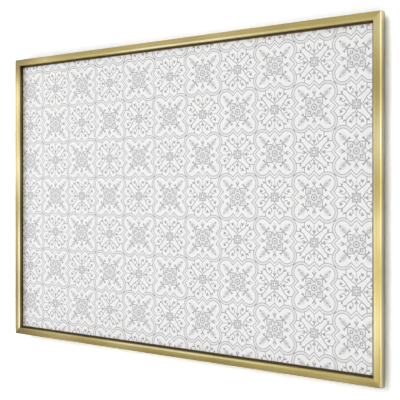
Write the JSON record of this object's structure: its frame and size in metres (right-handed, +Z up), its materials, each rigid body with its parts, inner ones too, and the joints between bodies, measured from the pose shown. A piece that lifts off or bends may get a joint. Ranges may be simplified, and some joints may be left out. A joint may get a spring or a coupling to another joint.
{
  "type": "framed magnetic board",
  "caption": "Landscape magnetic wall board: a printed steel panel floating in a slim mitred gold metal frame, with swinging ring hangers and rubber bumpers behind.",
  "frame": {"origin": "centre of the wall plane behind the board, where the flat ends of the four rubber bumpers lie", "axes": "+X to the right seen from the front, along the board's width; +Y towards the wall, so the board's face looks along -Y; +Z up, along the board's height"},
  "size_m": [0.705, 0.0175, 0.5],
  "materials": {
    "gold_anodised": "brushed along each rail and anodised gold",
    "cast_alloy": "bare die casting",
    "zinc_plate": "bright zinc plating",
    "printed_film": "satin white film printed with a fine grey tile pattern",
    "coated_sheet": "thin grey coating",
    "hardboard": "smooth brown hardboard",
    "dark_rubber": "matt"
  },
  "bodies": {
    "board": {"rail_top": "gold_anodised", "rail_right": "gold_anodised", "rail_bottom": "gold_anodised", "rail_left": "gold_anodised", "corner_key_top_right": "cast_alloy", "corner_key_bottom_right": "cast_alloy", "corner_key_bottom_left": "cast_alloy", "corner_key_top_left": "cast_alloy", "corner_screw_top_1": "zinc_plate", "corner_screw_top_2": "zinc_plate", "corner_screw_right_1": "zinc_plate", "corner_screw_right_2": "zinc_plate", "corner_screw_bottom_1": "zinc_plate", "corner_screw_bottom_2": "zinc_plate", "corner_screw_left_1": "zinc_plate", "corner_screw_left_2": "zinc_plate", "panel_screw_top_1": "zinc_plate", "panel_screw_top_2": "zinc_plate", "panel_screw_top_3": "zinc_plate", "panel_screw_right_1": "zinc_plate", "panel_screw_right_2": "zinc_plate", "panel_screw_bottom_1": "zinc_plate", "panel_screw_bottom_2": "zinc_plate", "panel_screw_bottom_3": "zinc_plate", "panel_screw_left_1": "zinc_plate", "panel_screw_left_2": "zinc_plate", "print_film": "printed_film", "steel_sheet": "coated_sheet", "backing_board": "hardboard", "hanger_strap_left": "zinc_plate", "hanger_strap_right": "zinc_plate", "hanger_screw_left_1": "zinc_plate", "hanger_screw_left_2": "zinc_plate", "hanger_screw_right_1": "zinc_plate", "hanger_screw_right_2": "zinc_plate", "wall_bumper_top_left": "dark_rubber", "wall_bumper_top_right": "dark_rubber", "wall_bumper_bottom_left": "dark_rubber", "wall_bumper_bottom_right": "dark_rubber"},
    "ring_left": {"hanger_ring_left": "zinc_plate"},
    "ring_right": {"hanger_ring_right": "zinc_plate"}
  },
  "joints": [
    {"name": "ring_left_swing", "type": "hinge", "parent": "board", "child": "ring_left", "pos_m": [-0.3435, -0.0028, 0.162], "axis": [-1, 0, 0], "range_deg": [0, 175]},
    {"name": "ring_right_swing", "type": "hinge", "parent": "board", "child": "ring_right", "pos_m": [0.3435, -0.0028, 0.162], "axis": [-1, 0, 0], "range_deg": [0, 175]}
  ]
}
